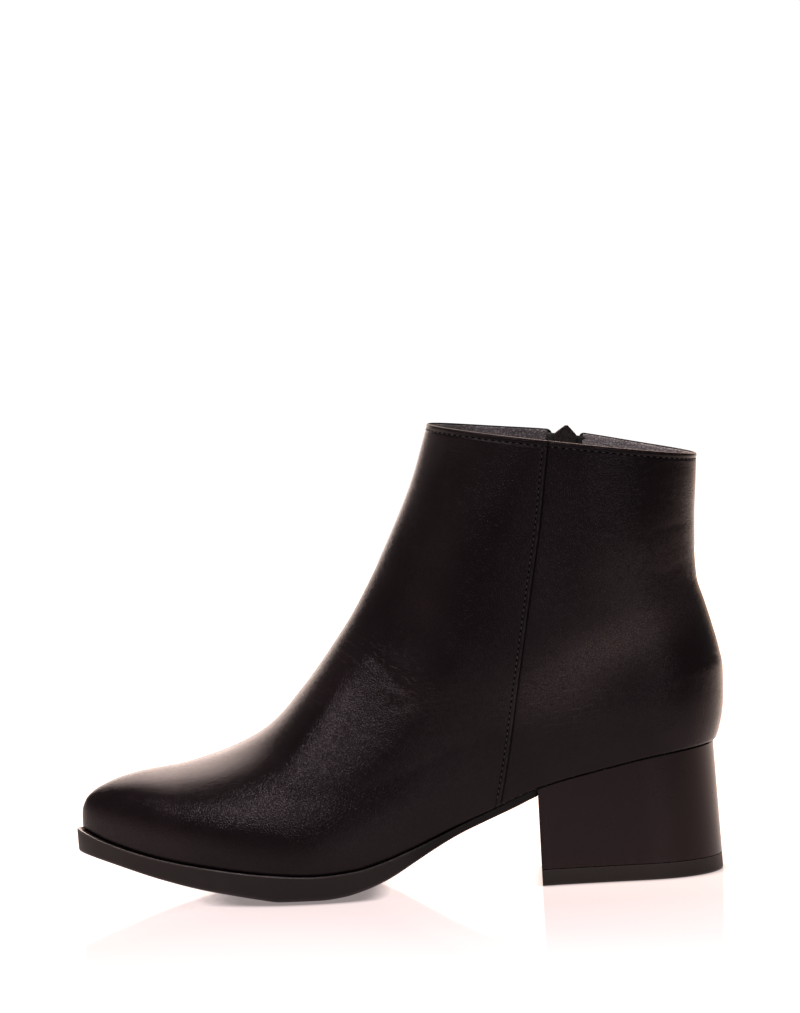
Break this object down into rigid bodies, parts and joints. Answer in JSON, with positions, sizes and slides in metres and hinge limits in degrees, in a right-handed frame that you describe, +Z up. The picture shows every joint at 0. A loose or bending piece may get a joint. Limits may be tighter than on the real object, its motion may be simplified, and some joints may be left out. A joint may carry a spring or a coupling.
{
  "type": "ankle boot",
  "caption": "Left ankle boot in plain dark leather with an almond toe, a side seam, an inner side zip and a straight block heel; worn on the foot.",
  "frame": {"origin": "on the floor under the middle of the boot's box", "axes": "+X to the toe, +Y to the outer (lateral) side of the left foot, +Z up"},
  "size_m": [0.2596, 0.0864, 0.182],
  "materials": {
    "leather": "smooth satin",
    "sole_rubber": "matte",
    "lining": "soft matte",
    "heel_cover": "satin",
    "lift_rubber": "matte",
    "tape": "woven matte",
    "nylon": "satin",
    "dark_metal": "satin"
  },
  "bodies": {
    "boot": {"upper": "leather", "outsole": "sole_rubber", "insole": "lining", "heel_block": "heel_cover", "top_lift": "lift_rubber", "zip_tape_front": "tape", "zip_tape_rear": "tape", "zip_chain": "nylon", "zip_slider": "dark_metal"},
    "pull_tab": {"zip_pull_tab": "dark_metal"}
  },
  "joints": [
    {"name": "pull_tab_swing", "type": "hinge", "parent": "boot", "child": "pull_tab", "pos_m": [-0.07282, -0.03674, 0.17003], "axis": [-0.9891, 0.0306, -0.1443], "range_deg": [0, 150]}
  ]
}
